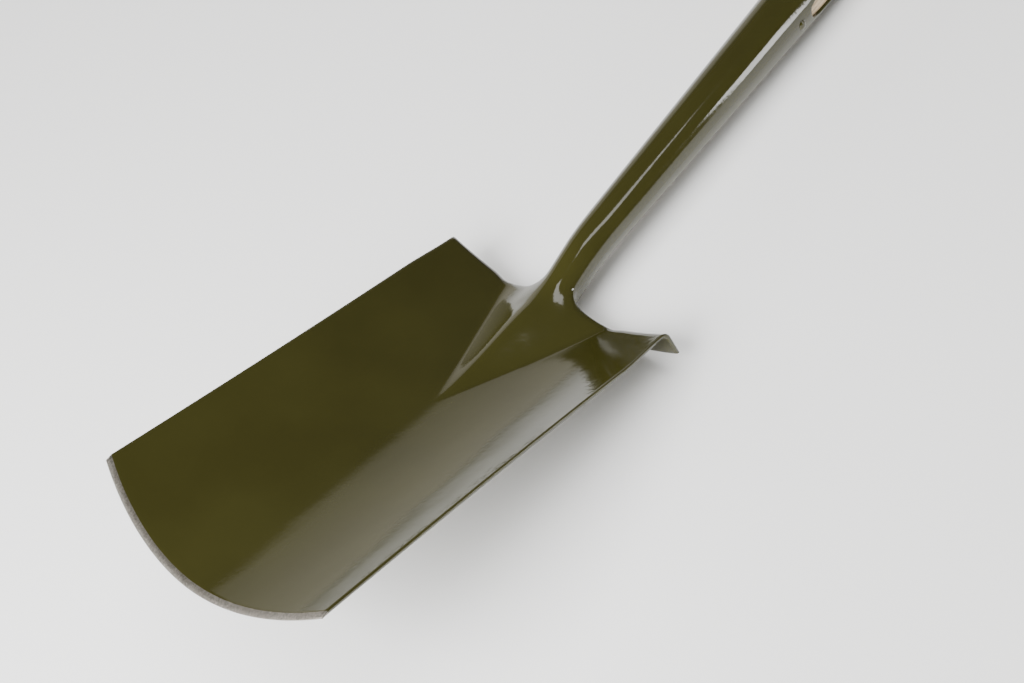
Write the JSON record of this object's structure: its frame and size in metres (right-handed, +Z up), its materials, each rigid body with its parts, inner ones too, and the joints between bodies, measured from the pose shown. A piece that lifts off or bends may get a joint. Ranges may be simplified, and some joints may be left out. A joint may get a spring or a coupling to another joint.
{
  "type": "garden spade",
  "caption": "Digging spade: dished steel blade with folded foot treads, cranked neck, strapped socket, and an ash shaft that splits into a wishbone with a turned hand grip.",
  "frame": {"origin": "on the ground, under the middle of the whole tool's box, with the spade lying face up on its treads and its hand grip", "axes": "+Y along the tool from the cutting edge to the hand grip; +Z up, out of the blade's hollow face; +X to the right when looking from the cutting edge to the grip"},
  "size_m": [0.194, 1.0324, 0.1301],
  "materials": {
    "enamel": "high-gloss olive green stove enamel on forged steel, bare ground steel along the cutting edge",
    "ash": "smooth waxed ash, straight grain along the shaft",
    "grip_ash": "turned and waxed ash",
    "steel": "plain steel, riveted over",
    "enamelled_rivet": "rivet head painted with the head"
  },
  "bodies": {
    "root": {"spade_head": "enamel", "ash_shaft": "ash", "hand_grip": "grip_ash", "grip_rod": "steel", "grip_rove_left": "steel", "grip_rove_right": "steel", "throat_rivet": "steel", "throat_rove_left": "steel", "throat_rove_right": "steel", "socket_rivet": "enamelled_rivet", "strap_rivet_lower": "enamelled_rivet", "strap_rivet_upper": "enamelled_rivet"}
  },
  "joints": []
}
